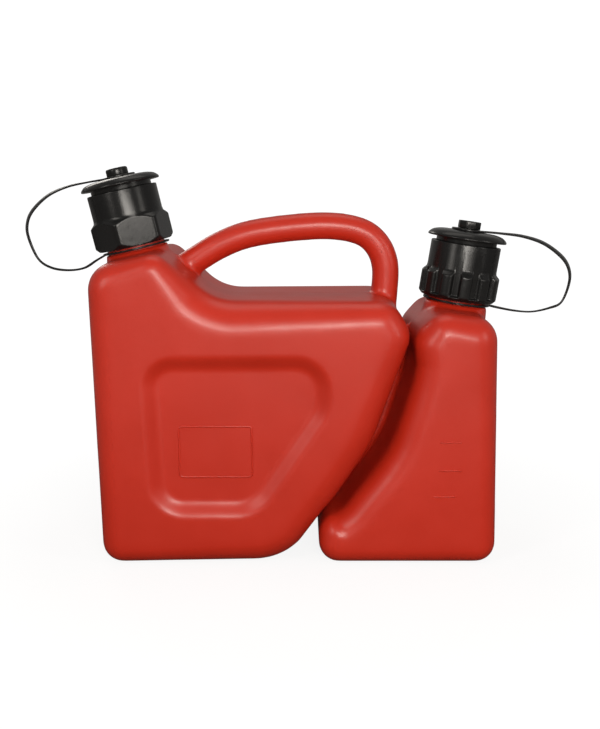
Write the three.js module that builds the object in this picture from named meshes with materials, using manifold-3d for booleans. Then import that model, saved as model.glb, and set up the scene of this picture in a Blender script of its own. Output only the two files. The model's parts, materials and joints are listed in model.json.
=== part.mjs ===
// A combination can: one blow-moulded body with a large fuel tank, a small oil tank and a loop
// handle, and on each neck a screw cap with a push-in stopper on a retaining strap.
// Millimetres, +Z up, +X from the fuel tank to the oil tank, front face towards -Y.
import * as THREE from "three";
import { LoftGeometry } from "three/addons/geometries/LoftGeometry.js";
import { mergeVertices } from "three/addons/utils/BufferGeometryUtils.js";
import Module from "manifold-3d";

// Body
const BODY_WIDTH = 305; // both tanks, along the base
const BODY_DEPTH = 130;
const TANK_TOP = 202; // flat top of the fuel tank
const SHOULDER_RISE = 31; // the fuel neck's shoulder above that flat top
const OIL_DROP = 10.5; // the oil neck's seat below the flat top
const WALL = 2.4;
const DIVIDER_GAP = 7; // the slot between the tanks, where it is widest
const SLOT_DRAFT = 3.2; // by which each side of the slot opens towards the faces
const WEB_THICKNESS = 3.2;
const EDGE_TOP = 24; // rounding of the tanks' edges, front and back
const EDGE_SIDE = 17;
const EDGE_BASE = 14;
const PANEL_DEPTH = 6; // the sunk panel of the fuel tank
const PANEL_SLOPE = 14;
const CORNER = 16; // rounding of the outlines' corners
const GRIP_RADIUS = 10.35; // the loop handle's tube
const GRIP_HEIGHT = 254; // its centre line at the highest point

// Necks, caps and stoppers, along their own axes from the collar's lower edge
const NECK_RADIUS = 22.5;
const NECK_WALL = 3;
const NECK_HEIGHT = 31;
const FUEL_TILT = 12.7; // degrees, outwards
const OIL_TILT = 8.2;
const NECK_CLEAR = 6.6; // from the shoulder up to the collar
const THREAD_DEPTH = 1.2;
const THREAD_PITCH = 5;
const THREAD_TURNS = 1.5;
const RUNNING_GAP = 0.5;
const TOUCH_GAP = 0.3;
const CAP_WALL = 2.8;
const CAP_HEIGHT = 43;
const COLLAR_HEIGHT = 22;
const LEDGE_THICKNESS = 3;
const GASKET_THICKNESS = 2;
const PLUG_LENGTH = 16; // below the ledge
const PLUG_WALL = 2;
const SEAL_SECTION = 1.3; // radius
const DISC_OVERHANG = 3.5; // past the drum
const DISC_RISE = 4.3;
const LIP_THICKNESS = 1.6;
const LIP_CLEAR = 3.5; // from the drum up to the disc's lip
const KNOB_RADIUS = 8.4;
const KNOB_HEIGHT = 7.6;

// Retaining straps
const STRAP_WIDTH = 8;
const STRAP_THICKNESS = 1.4;
const STRAP_RING = 3.2; // radial width of the ring and the eyelet
const FUEL_STRAP_REACH = 80;
const OIL_STRAP_REACH = 85.5;

const wasm = await Module();
wasm.setup();

const v2 = (x, y) => new THREE.Vector2(x, y);
const radians = THREE.MathUtils.degToRad;

function solid(geometry) {
  const bare = new THREE.BufferGeometry();
  bare.setAttribute("position", geometry.getAttribute("position"));
  bare.setIndex(geometry.index);
  const merged = mergeVertices(bare, 1e-4);
  return new wasm.Manifold(
    new wasm.Mesh({
      numProp: 3,
      vertProperties: merged.attributes.position.array,
      triVerts: new Uint32Array(merged.index.array),
    }),
  );
}

function shell(manifold) {
  const { vertProperties, triVerts } = manifold.getMesh();
  const geometry = new THREE.BufferGeometry();
  geometry.setAttribute("position", new THREE.BufferAttribute(vertProperties, 3));
  geometry.setIndex(new THREE.BufferAttribute(triVerts, 1));
  const faceted = geometry.toNonIndexed();
  faceted.computeVertexNormals();
  return faceted;
}

// Turned about Z: the profile holds [radius, height] pairs and closes on itself.
function turned(profile, segments = 32) {
  const points = profile.map(([r, z]) => v2(r, z));
  if (profile[0][0] > 0) points.push(points[0].clone());
  return new THREE.LatheGeometry(points, segments).rotateX(Math.PI / 2);
}

// A closed outline in the XZ plane from corners [x, z, corner radius, edge rounding, draft], each
// corner replaced by an arc. Every point keeps its outward normal, edge rounding and draft.
function outline(corners, stepDegrees = 18) {
  const points = [];
  corners.forEach(([x, z, radius, rounding = 0, draft = 0], i) => {
    const corner = v2(x, z);
    const [px, pz] = corners[(i + corners.length - 1) % corners.length];
    const [nx, nz] = corners[(i + 1) % corners.length];
    const before = corner.clone().sub(v2(px, pz)).normalize();
    const after = v2(nx, nz).sub(corner).normalize();
    const turn = Math.atan2(before.cross(after), before.dot(after));
    const side = Math.sign(turn);
    const start = corner.clone().addScaledVector(before, -radius * Math.tan(Math.abs(turn) / 2));
    const inward = v2(-before.y, before.x).multiplyScalar(side);
    const centre = start.clone().addScaledVector(inward, radius);
    const steps = Math.max(2, Math.round(Math.abs(THREE.MathUtils.radToDeg(turn)) / stepDegrees));
    for (let k = 0; k <= steps; k++) {
      const spoke = inward.clone().negate().rotateAround(v2(0, 0), (turn * k) / steps);
      points.push({
        at: centre.clone().addScaledVector(spoke, radius),
        normal: spoke.clone().multiplyScalar(side),
        rounding,
        draft,
      });
    }
  });
  return points;
}

const section = (points, inset, y) =>
  points.map((p) => {
    const at = p.at.clone().addScaledVector(p.normal, -inset(p));
    return new THREE.Vector3(at.x, y(p), at.y);
  });

// A tank with rounded edges: the outline at mid-depth, drawn in towards the front and the back,
// first by its draft and then by its rounding.
function pillow(points, depth, inset = 0, steps = 4) {
  const sections = [];
  const half = depth / 2 - inset;
  for (const face of [1, -1]) {
    for (let k = 0; k <= steps; k++) {
      const angle = ((face > 0 ? steps - k : k) / steps) * (Math.PI / 2);
      const radius = (p) => Math.max(p.rounding - inset, 0.5);
      sections.push(
        section(
          points,
          (p) => inset + p.draft + radius(p) * (1 - Math.cos(angle)),
          (p) => face * (half - radius(p) * (1 - Math.sin(angle))),
        ),
      );
    }
    if (face > 0) {
      const middle = section(
        points,
        () => inset,
        () => 0,
      );
      sections.push(middle);
    }
  }
  return solid(new LoftGeometry(sections, { capStart: true, capEnd: true }));
}

// The hollow that presses a panel into a face: it slopes in from the outline to a flat floor.
function panelHollow(points, face, grow) {
  const surface = BODY_DEPTH / 2;
  const steps = [
    [0, -2],
    [0, 0],
    [0.2, 0.12],
    [0.5, 0.5],
    [0.8, 0.88],
    [1, 1],
  ];
  const sections = steps.map(([across, down]) =>
    section(
      points,
      () => PANEL_SLOPE * across - grow,
      () => face * (surface - (down > 0 ? PANEL_DEPTH * down + grow : grow + down)),
    ),
  );
  sections[0] = section(
    points,
    () => -grow,
    () => face * (surface + 2),
  );
  if (face < 0) sections.reverse();
  return solid(new LoftGeometry(sections, { capStart: true, capEnd: true }));
}

const X = (share) => share * BODY_WIDTH;
const Z = (share) => share * TANK_TOP;

// The slot between the tanks, from the base to the top: the corners of the fuel tank's side,
// and those of the oil tank's side across the gap.
const FUEL_SIDE = [
  [X(0.0925), Z(0.226)],
  [X(0.1965), Z(0.466)],
  [X(0.273), Z(0.881)],
];
const OIL_SIDE = [
  [FUEL_SIDE[0][0] + DIVIDER_GAP * 0.62, FUEL_SIDE[0][1] - DIVIDER_GAP * 0.62],
  [FUEL_SIDE[1][0] + DIVIDER_GAP, FUEL_SIDE[1][1] - DIVIDER_GAP * 0.45],
  [X(0.2715), Z(0.718)],
  [X(0.279), Z(0.872)],
];
const FUEL_SEAT = TANK_TOP + SHOULDER_RISE;
const OIL_SEAT = TANK_TOP - OIL_DROP;

// A neck's seat is a line through its centre, square to its axis.
const seatLine = (x, z, tilt, outward) => (at) => z + (at - x) * -outward * Math.tan(radians(tilt));
const FUEL_NECK_X = X(-0.4145);
const OIL_NECK_X = X(0.4013);
const fuelSeatAt = seatLine(FUEL_NECK_X, FUEL_SEAT, FUEL_TILT, -1);
const oilSeatAt = seatLine(OIL_NECK_X, OIL_SEAT, OIL_TILT, 1);

const fuelOutline = outline([
  [X(-0.4975), 0, CORNER, EDGE_BASE],
  [X(-0.046), 0, 3 * CORNER, EDGE_BASE * 1.4],
  [...FUEL_SIDE[0], 7.5 * CORNER, EDGE_TOP * 0.92, SLOT_DRAFT],
  [...FUEL_SIDE[1], 7.5 * CORNER, EDGE_TOP * 0.92, SLOT_DRAFT],
  [...FUEL_SIDE[2], 1.25 * CORNER, EDGE_TOP * 0.75],
  [X(0.223), TANK_TOP, 1.25 * CORNER, EDGE_TOP * 0.75],
  [X(-0.207), TANK_TOP, 2.5 * CORNER, EDGE_TOP],
  [X(-0.341), fuelSeatAt(X(-0.341)), 0.9 * CORNER, EDGE_SIDE * 0.76],
  [X(-0.511), fuelSeatAt(X(-0.511)), 1.3 * CORNER, EDGE_SIDE],
]);
const oilOutline = outline([
  [X(0.0475), 0, 0.95 * CORNER, EDGE_BASE],
  [X(0.494), 0, 0.95 * CORNER, EDGE_BASE],
  [X(0.48), oilSeatAt(X(0.48)), 1.2 * CORNER, EDGE_SIDE * 1.1],
  [X(0.336), oilSeatAt(X(0.336)), 1.1 * CORNER, EDGE_SIDE],
  [...OIL_SIDE[3], 1.25 * CORNER, EDGE_SIDE * 1.15],
  [...OIL_SIDE[2], 6 * CORNER, EDGE_SIDE * 1.15, SLOT_DRAFT],
  [...OIL_SIDE[1], 6 * CORNER, EDGE_SIDE * 1.15, SLOT_DRAFT],
  [...OIL_SIDE[0], 2 * CORNER, EDGE_SIDE * 1.15, SLOT_DRAFT * 0.6],
  [X(0.0475), Z(0.155), 1.1 * CORNER, EDGE_SIDE],
]);
const panelOutline = outline([
  [X(-0.374), Z(0.188), 1.75 * CORNER],
  [X(-0.098), Z(0.188), 2.2 * CORNER],
  [X(0.082), Z(0.594), 2.5 * CORNER],
  [X(0.0787), Z(0.817), 1.75 * CORNER],
  [X(-0.39), Z(0.812), 1.55 * CORNER],
]);

const web = new THREE.Shape([
  v2(FUEL_SIDE[0][0] - 16, Z(0.163)),
  ...FUEL_SIDE.map(([x, z]) => v2(x - 4, z)),
  ...OIL_SIDE.toReversed().map(([x, z]) => v2(x + 4, z)),
  v2(X(0.0475) + 6, Z(0.163)),
]);
const webPlate = solid(
  new THREE.ExtrudeGeometry(web, { depth: WEB_THICKNESS, bevelEnabled: false })
    .rotateX(Math.PI / 2)
    .translate(0, WEB_THICKNESS / 2, 0),
);

const gripLine = new THREE.CatmullRomCurve3(
  [
    [X(-0.335), TANK_TOP + 12],
    [X(-0.271), (GRIP_HEIGHT + TANK_TOP) / 2 - 1],
    [X(-0.195), GRIP_HEIGHT - 13.5],
    [X(-0.108), GRIP_HEIGHT - 5],
    [X(0.0465), GRIP_HEIGHT],
    [X(0.1416), GRIP_HEIGHT - 3],
    [X(0.192), GRIP_HEIGHT - 12.5],
    [X(0.218), (GRIP_HEIGHT + TANK_TOP) / 2 - 4],
    [X(0.216), TANK_TOP - 4],
    [X(0.21), TANK_TOP - 26],
  ].map(([x, z]) => new THREE.Vector3(x, 0, z)),
  false,
  "centripetal",
);

function tube(curve, radius, sides, steps) {
  const ring = new THREE.Shape();
  ring.absarc(0, 0, radius, 0, 2 * Math.PI);
  return solid(
    new THREE.ExtrudeGeometry(ring, {
      curveSegments: sides,
      steps,
      bevelEnabled: false,
      extrudePath: curve,
    }),
  );
}

// Heights along a closure's axis
const CAP_BORE = NECK_RADIUS + THREAD_DEPTH + RUNNING_GAP;
const DRUM_RADIUS = CAP_BORE + CAP_WALL;
const GASKET_BASE = NECK_HEIGHT + TOUCH_GAP;
const LEDGE_BASE = GASKET_BASE + GASKET_THICKNESS + TOUCH_GAP;
const LEDGE_TOP = LEDGE_BASE + LEDGE_THICKNESS;
const NECK_BORE = NECK_RADIUS - NECK_WALL;
const PLUG_RADIUS = NECK_BORE - 1.3;
const LEDGE_HOLE = NECK_BORE + 0.1;
const MOUTH_RADIUS = DRUM_RADIUS - CAP_WALL;
const DISC_RADIUS = DRUM_RADIUS + DISC_OVERHANG;
const DISC_BASE = CAP_HEIGHT + LIP_CLEAR;
const DISC_TOP = DISC_BASE + LIP_THICKNESS + DISC_RISE;
const RING_TOP = -1.4;
const RING_BASE = RING_TOP - STRAP_THICKNESS;
const RING_BORE = NECK_RADIUS + 0.4;

class Helix extends THREE.Curve {
  getPoint(t, target = new THREE.Vector3()) {
    const angle = 2 * Math.PI * THREAD_TURNS * t;
    const z = NECK_HEIGHT - 3 - THREAD_PITCH * THREAD_TURNS * (1 - t);
    return target.set(NECK_RADIUS * Math.cos(angle), NECK_RADIUS * Math.sin(angle), z);
  }
}

// A closure stands on its own axis: outward is -1 for the fuel tank and 1 for the oil tank.
function axisOf(x, seat, tilt, outward) {
  const angle = outward * radians(tilt);
  const origin = new THREE.Vector3(
    x + NECK_CLEAR * Math.sin(angle),
    0,
    seat + NECK_CLEAR * Math.cos(angle),
  );
  const group = new THREE.Group();
  group.position.copy(origin);
  group.rotation.y = angle;
  group.updateMatrixWorld(true);
  return group;
}
const fuelAxis = axisOf(FUEL_NECK_X, FUEL_SEAT, FUEL_TILT, -1);
const oilAxis = axisOf(OIL_NECK_X, OIL_SEAT, OIL_TILT, 1);

const neckForm = solid(
  turned([
    [0, -24],
    [NECK_RADIUS + 2, -24],
    [NECK_RADIUS + 2, RING_BASE - 1],
    [NECK_RADIUS + 1.4, RING_BASE - TOUCH_GAP],
    [NECK_RADIUS, RING_BASE - TOUCH_GAP],
    [NECK_RADIUS, NECK_HEIGHT - 0.8],
    [NECK_RADIUS - 0.8, NECK_HEIGHT],
    [0, NECK_HEIGHT],
  ]),
).add(tube(new Helix(), THREAD_DEPTH, 4, Math.round(THREAD_TURNS * 16)));
const neckBore = solid(
  turned([
    [0, -40],
    [NECK_BORE, -40],
    [NECK_BORE, NECK_HEIGHT + 1],
    [0, NECK_HEIGHT + 1],
  ]),
);
const placed = (manifold, group) => manifold.transform(group.matrixWorld.elements);

// The tanks, the loop handle and the necks are hollow and open into one another. Each is a solid of
// its own that ends a hair clear of the next, and the web belongs to the fuel tank.
function canisterParts() {
  const fuelForm = (inset, steps = 4) => pillow(fuelOutline, BODY_DEPTH, inset, steps);
  const oilForm = (inset, steps = 4) => pillow(oilOutline, BODY_DEPTH, inset, steps);
  const gripBore = tube(gripLine, GRIP_RADIUS - WALL, 5, 22);
  let fuelTank = fuelForm(0);
  let fuelRoom = fuelForm(WALL, 3);
  for (const face of [-1, 1]) {
    fuelTank = fuelTank.subtract(panelHollow(panelOutline, face, 0));
    fuelRoom = fuelRoom.subtract(panelHollow(panelOutline, face, WALL));
  }
  const reach = fuelForm(-TOUCH_GAP).add(oilForm(-TOUCH_GAP));
  const neck = (axis) => placed(neckForm.subtract(neckBore), axis).subtract(reach);
  return {
    body: fuelTank
      .add(webPlate.subtract(oilForm(-TOUCH_GAP)))
      .subtract(fuelRoom.add(gripBore).add(placed(neckBore, fuelAxis))),
    oilTank: oilForm(0)
      .subtract(fuelForm(-TOUCH_GAP))
      .subtract(oilForm(WALL, 3).add(placed(neckBore, oilAxis))),
    handle: tube(gripLine, GRIP_RADIUS, 6, 22).subtract(gripBore).subtract(reach),
    fuelNeck: neck(fuelAxis),
    oilNeck: neck(oilAxis),
  };
}

const drum = solid(
  turned([
    [CAP_BORE, 0],
    [DRUM_RADIUS, 0],
    [DRUM_RADIUS, CAP_HEIGHT - 0.8],
    [DRUM_RADIUS - 0.8, CAP_HEIGHT],
    [MOUTH_RADIUS, CAP_HEIGHT],
    [MOUTH_RADIUS, CAP_HEIGHT - 1],
    [LEDGE_HOLE + 1.2, LEDGE_TOP],
    [LEDGE_HOLE, LEDGE_TOP],
    [LEDGE_HOLE, LEDGE_BASE],
    [CAP_BORE, LEDGE_BASE],
  ]),
);
const collarBore = solid(
  turned([
    [0, -1],
    [CAP_BORE + 0.5, -1],
    [CAP_BORE + 0.5, COLLAR_HEIGHT + 1],
    [0, COLLAR_HEIGHT + 1],
  ]),
);
const COLLAR_RADIUS = DRUM_RADIUS + 3.75;
const chamfers = solid(
  turned([
    [0, 0],
    [DRUM_RADIUS + 0.8, 0],
    [COLLAR_RADIUS, 2.6],
    [COLLAR_RADIUS, COLLAR_HEIGHT - 3.4],
    [DRUM_RADIUS + 0.2, COLLAR_HEIGHT],
    [0, COLLAR_HEIGHT],
  ]),
);

// The fuel cap's collar is a hexagon whose flats meet the drum.
const hexCollar = solid(
  new THREE.CylinderGeometry(
    (DRUM_RADIUS + 0.3) / Math.cos(Math.PI / 6),
    (DRUM_RADIUS + 0.3) / Math.cos(Math.PI / 6),
    COLLAR_HEIGHT,
    6,
  )
    .rotateX(Math.PI / 2)
    .rotateZ(radians(-12))
    .translate(0, 0, COLLAR_HEIGHT / 2),
).intersect(chamfers);

// The oil cap's collar has twelve rounded grips above a plain skirt.
const GRIPS = 12;
const SKIRT = 3;
const lobes = new THREE.Shape(
  Array.from({ length: GRIPS }, (_, i) =>
    [
      [-10.5, DRUM_RADIUS + 0.3],
      [-8.5, COLLAR_RADIUS - 1.4],
      [-4, COLLAR_RADIUS],
      [4, COLLAR_RADIUS],
      [8.5, COLLAR_RADIUS - 1.4],
      [10.5, DRUM_RADIUS + 0.3],
    ].map(([degrees, r]) => {
      const angle = radians(degrees + (i * 360) / GRIPS);
      return v2(r * Math.cos(angle), r * Math.sin(angle));
    }),
  ).flat(),
);
const lobedCollar = solid(
  new THREE.ExtrudeGeometry(lobes, { depth: COLLAR_HEIGHT, bevelEnabled: false }),
)
  .intersect(chamfers)
  .add(
    solid(
      turned([
        [0, 0],
        [COLLAR_RADIUS - 0.9, 0],
        [COLLAR_RADIUS - 0.3, 0.6],
        [COLLAR_RADIUS - 0.3, SKIRT],
        [0, SKIRT],
      ]),
    ),
  );
const cap = (collar) => drum.add(collar.subtract(collarBore));

const gasket = solid(
  turned(
    [
      [LEDGE_HOLE + 0.6, GASKET_BASE],
      [CAP_BORE - 0.4, GASKET_BASE],
      [CAP_BORE - 0.4, GASKET_BASE + GASKET_THICKNESS],
      [LEDGE_HOLE + 0.6, GASKET_BASE + GASKET_THICKNESS],
    ],
    32,
  ),
);

// The stopper: an umbrella disc over a cone that drops into the drum, and a hollow plug below.
const PLUG_BASE = LEDGE_BASE - PLUG_LENGTH;
const SEAL_HEIGHT = LEDGE_BASE - 6;
const GROOVE_RADIUS = PLUG_RADIUS - SEAL_SECTION * 0.9;
const EYELET_BASE = DISC_TOP + TOUCH_GAP;
const EYELET_TOP = EYELET_BASE + STRAP_THICKNESS;
const stopperBase = solid(
  turned([
    [0, PLUG_BASE + 8],
    [PLUG_RADIUS - PLUG_WALL * 1.8, PLUG_BASE + 8],
    [PLUG_RADIUS - PLUG_WALL, PLUG_BASE],
    [PLUG_RADIUS - 0.8, PLUG_BASE],
    [PLUG_RADIUS, PLUG_BASE + 1],
    [PLUG_RADIUS, SEAL_HEIGHT - SEAL_SECTION - 0.3],
    [GROOVE_RADIUS, SEAL_HEIGHT - SEAL_SECTION - 0.3],
    [GROOVE_RADIUS, SEAL_HEIGHT + SEAL_SECTION + 0.3],
    [PLUG_RADIUS, SEAL_HEIGHT + SEAL_SECTION + 0.3],
    [PLUG_RADIUS, LEDGE_TOP],
    [LEDGE_HOLE + 0.5, LEDGE_TOP + TOUCH_GAP + 0.3],
    [MOUTH_RADIUS - 0.8, CAP_HEIGHT - 0.4],
    [MOUTH_RADIUS - 0.8, DISC_BASE + LIP_THICKNESS],
    [DISC_RADIUS - 1.6, DISC_BASE],
    [DISC_RADIUS - 0.5, DISC_BASE],
    [DISC_RADIUS, DISC_BASE + 0.5 * LIP_THICKNESS],
    [DISC_RADIUS - 0.5, DISC_BASE + LIP_THICKNESS],
    [DISC_RADIUS - 3, DISC_TOP - 1.6],
    [DISC_RADIUS - 8, DISC_TOP],
    [KNOB_RADIUS - 1.8, DISC_TOP],
    [KNOB_RADIUS - 1.8, EYELET_TOP + TOUCH_GAP],
    [0, EYELET_TOP + TOUCH_GAP],
  ]),
);
const KNOB_BASE = EYELET_TOP + TOUCH_GAP - 0.4;
const roundKnob = solid(
  turned(
    [
      [0, KNOB_BASE],
      [KNOB_RADIUS - 1.8, KNOB_BASE],
      [KNOB_RADIUS - 1.8, KNOB_BASE + 0.4],
      [KNOB_RADIUS, KNOB_BASE + 0.4],
      [KNOB_RADIUS, DISC_TOP + KNOB_HEIGHT - 1.2],
      [KNOB_RADIUS - 1.6, DISC_TOP + KNOB_HEIGHT - 0.2],
      [0, DISC_TOP + KNOB_HEIGHT + 0.3],
    ],
    32,
  ),
);
const square = new THREE.Shape(
  [1, -1].flatMap((s) => [
    v2(s * KNOB_RADIUS, s * KNOB_RADIUS * 0.42),
    v2(s * KNOB_RADIUS * 0.42, s * KNOB_RADIUS),
    v2(-s * KNOB_RADIUS * 0.42, s * KNOB_RADIUS),
    v2(-s * KNOB_RADIUS, s * KNOB_RADIUS * 0.42),
  ]),
);
const squareKnob = solid(
  new THREE.ExtrudeGeometry(square, {
    depth: DISC_TOP + KNOB_HEIGHT - KNOB_BASE - 1.2,
    bevelSize: 0.8,
    bevelThickness: 0.8,
    bevelOffset: -0.8,
    bevelSegments: 1,
  })
    .rotateZ(radians(45))
    .translate(0, 0, KNOB_BASE + 1.2),
).add(
  solid(
    turned(
      [
        [0, KNOB_BASE],
        [KNOB_RADIUS - 1.8, KNOB_BASE],
        [KNOB_RADIUS - 1.8, KNOB_BASE + 1.6],
        [0, KNOB_BASE + 1.6],
      ],
      32,
    ),
  ),
);
const seal = solid(
  turned(
    Array.from({ length: 6 }, (_, i) => {
      const angle = (i * Math.PI) / 3;
      const r = (NECK_BORE - GROOVE_RADIUS) / 2 - 0.25;
      return [
        (NECK_BORE + GROOVE_RADIUS) / 2 + r * Math.cos(angle),
        SEAL_HEIGHT + r * Math.sin(angle),
      ];
    }),
    32,
  ),
);

// A strap: an eyelet round the knob, a flat band that loops outwards, and a ring round the neck.
function strap(reach, sag, outward) {
  const loop = new THREE.SplineCurve(
    [
      [KNOB_RADIUS + 0.6, EYELET_BASE + STRAP_THICKNESS / 2],
      [0.3 * reach, EYELET_TOP + 0.2],
      [0.5 * reach, EYELET_TOP + 0.4],
      [0.7 * reach, EYELET_TOP - 2.6],
      [0.88 * reach, EYELET_TOP - 10.5],
      [0.97 * reach, EYELET_TOP - 19],
      [reach, EYELET_TOP - 30],
      [0.965 * reach, 9.6 - 0.4 * sag],
      [0.865 * reach, 5.4 - sag],
      [0.71 * reach, 0.5 - sag],
      [0.55 * reach, -0.6 - sag],
      [RING_BORE + STRAP_RING + 7, -0.4 * sag - 1.8],
      [RING_BORE + 1, RING_BASE + STRAP_THICKNESS / 2],
    ].map(([a, s]) => v2(a, s)),
  ).getPoints(30);
  const sides = loop.map((point, i) => {
    const next = loop[Math.min(i + 1, loop.length - 1)];
    const last = loop[Math.max(i - 1, 0)];
    const along = next.clone().sub(last).normalize();
    return v2(-along.y, along.x).multiplyScalar(STRAP_THICKNESS / 2);
  });
  const band = new THREE.Shape([
    ...loop.map((point, i) => point.clone().add(sides[i])),
    ...loop.map((point, i) => point.clone().sub(sides[i])).reverse(),
  ]);
  const flat = new THREE.ExtrudeGeometry(band, { depth: STRAP_WIDTH, bevelEnabled: false })
    .rotateX(Math.PI / 2)
    .translate(0, STRAP_WIDTH / 2, 0);
  const ring = (bore, outer, base) =>
    solid(
      turned(
        [
          [bore, base],
          [outer, base],
          [outer, base + STRAP_THICKNESS],
          [bore, base + STRAP_THICKNESS],
        ],
        32,
      ),
    );
  const eyeletBore = KNOB_RADIUS - 1.4;
  const made = solid(flat)
    .subtract(
      solid(
        turned([
          [0, EYELET_BASE - 1],
          [eyeletBore + 0.5, EYELET_BASE - 1],
          [eyeletBore + 0.5, EYELET_TOP + 2],
          [0, EYELET_TOP + 2],
        ]),
      ),
    )
    .add(ring(eyeletBore, KNOB_RADIUS + STRAP_RING + 1.4, EYELET_BASE))
    .add(ring(RING_BORE, RING_BORE + STRAP_RING, RING_BASE));
  return outward > 0 ? made : made.rotate([0, 0, 180]);
}

const red = new THREE.MeshStandardMaterial({ color: 0xb42a1c, roughness: 0.42, metalness: 0 });
const black = new THREE.MeshStandardMaterial({ color: 0x151515, roughness: 0.38, metalness: 0 });
const rubber = new THREE.MeshStandardMaterial({ color: 0x1c1b1a, roughness: 0.8, metalness: 0 });
const strapBlack = new THREE.MeshStandardMaterial({ color: 0x121212, roughness: 0.45, metalness: 0 });

function named(name, manifold, material) {
  const mesh = new THREE.Mesh(shell(manifold), material);
  mesh.name = name;
  return mesh;
}

fuelAxis.add(
  named("fuel_cap", cap(hexCollar), black.clone()),
  named("fuel_cap_gasket", gasket, rubber.clone()),
  named("fuel_stopper", stopperBase.add(roundKnob), black.clone()),
  named("fuel_stopper_seal", seal, rubber.clone()),
  named("fuel_strap", strap(FUEL_STRAP_REACH, 8, -1), strapBlack.clone()),
);
oilAxis.add(
  named("oil_cap", cap(lobedCollar), black.clone()),
  named("oil_cap_gasket", gasket, rubber.clone()),
  named("oil_stopper", stopperBase.add(squareKnob), black.clone()),
  named("oil_stopper_seal", seal, rubber.clone()),
  named("oil_strap", strap(OIL_STRAP_REACH, 3, 1), strapBlack.clone()),
);

const can = new THREE.Group();
can.name = "combination_can";
const moulding = canisterParts();
can.add(
  named("canister_body", moulding.body, red),
  named("oil_tank", moulding.oilTank, red.clone()),
  named("loop_handle", moulding.handle, red.clone()),
  named("fuel_neck", moulding.fuelNeck, red.clone()),
  named("oil_neck", moulding.oilNeck, red.clone()),
  fuelAxis,
  oilAxis,
);

// The part's origin is the middle of its footprint, on the surface it stands on.
const box = new THREE.Box3().setFromObject(can, true);
const middle = box.getCenter(new THREE.Vector3());
for (const child of can.children) child.position.sub(new THREE.Vector3(middle.x, middle.y, box.min.z));

export default can;
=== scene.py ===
"""Dresses the combination can: blow-moulded body, screw caps, stoppers, straps, and the studio."""
import json
import math

import bmesh
import bpy
import numpy as np
from bpy.props import FloatProperty, FloatVectorProperty, IntProperty, PointerProperty
from mathutils import Matrix, Vector


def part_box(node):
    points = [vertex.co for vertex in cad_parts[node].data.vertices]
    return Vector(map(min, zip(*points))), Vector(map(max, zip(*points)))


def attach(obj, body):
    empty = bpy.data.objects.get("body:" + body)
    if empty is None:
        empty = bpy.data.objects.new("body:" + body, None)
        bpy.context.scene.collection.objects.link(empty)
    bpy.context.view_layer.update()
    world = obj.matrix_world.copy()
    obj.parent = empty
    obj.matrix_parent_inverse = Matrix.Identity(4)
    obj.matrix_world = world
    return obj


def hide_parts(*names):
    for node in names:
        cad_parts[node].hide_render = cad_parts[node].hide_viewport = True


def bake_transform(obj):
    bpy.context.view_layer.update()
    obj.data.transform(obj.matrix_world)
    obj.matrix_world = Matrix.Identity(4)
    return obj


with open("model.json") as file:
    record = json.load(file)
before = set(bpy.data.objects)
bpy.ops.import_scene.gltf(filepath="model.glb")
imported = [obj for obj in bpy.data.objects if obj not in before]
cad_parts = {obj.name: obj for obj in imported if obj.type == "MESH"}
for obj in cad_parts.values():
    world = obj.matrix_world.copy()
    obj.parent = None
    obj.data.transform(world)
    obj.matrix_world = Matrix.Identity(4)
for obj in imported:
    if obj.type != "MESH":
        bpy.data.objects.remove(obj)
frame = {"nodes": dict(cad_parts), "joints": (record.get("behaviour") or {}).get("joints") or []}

bl_info = {
    "name": "Combination can",
    "version": (1, 0, 0),
    "blender": (4, 5, 0),
    "location": "View3D > Sidebar > Can",
    "description": "Models a combination fuel and oil can and its closures",
    "category": "Object",
}

JOINTS = {joint["name"]: joint for joint in frame["joints"]}
BODY_LOW, BODY_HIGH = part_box("canister_body")

# The body's smaller sizes, in metres
FOOT_STEP = 0.0035  # by which a neck's foot is wider than the neck, at its lower end
FOOT_STEP_TOP = 0.0018
FOOT_HEIGHT = 0.020
FOOT_MIDDLE = -0.0132  # along the closure's axis
PANEL_REACH = 0.012  # how deep below the faces the panel's press acts

# The raised marks, in metres
FRAME_SIDES = (-0.091, -0.035, 0.069, 0.110)  # left, right, low, high
FRAME_CORNER = 0.0035
FRAME_RIM = 0.0017
LEVEL_LINES = ((0.0982, 0.104, 0.120), (0.0765, 0.104, 0.1205), (0.0561, 0.100, 0.1165))
LEVEL_HALF = 0.0007  # half a level line's height; each line is its height, left and right end
MARK_SINK = 0.0006  # how deep the marks' feet stand in the faces

# Inside the caps, in metres along a closure's axis and from it
LEDGE_BASE = 0.0336
LEDGE_TOP = 0.0366
LEDGE_HOLE = 0.0196
LEDGE_LEAD = 0.0208  # the hole's wider mouth
PLUG_BASE = 0.0176
PLUG_RADIUS = 0.0182
GROOVE_RADIUS = 0.01703
GROOVE_LOW = 0.0260
GROOVE_HIGH = 0.0292
CONE_RADIUS = 0.0234

FINE_TURN, TURN, COARSE_TURN = 288, 128, 96  # facets round a cap, a stopper and a neck
THREAD_TURNS, THREAD_STEPS = 1.5, 72

# The collars' outer shape
HEXAGON_TURN = math.radians(-12)
RIB_SHARE = 0.345  # of a rib's pitch from its middle to the foot of its flank
FLANK_SHARE = 0.10
RIB_CROWN = 0.0007
SKIRT_TOP = 0.0034  # the ring below the ribs
LOWER_BEVEL = 0.0024 / 0.0026

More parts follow.
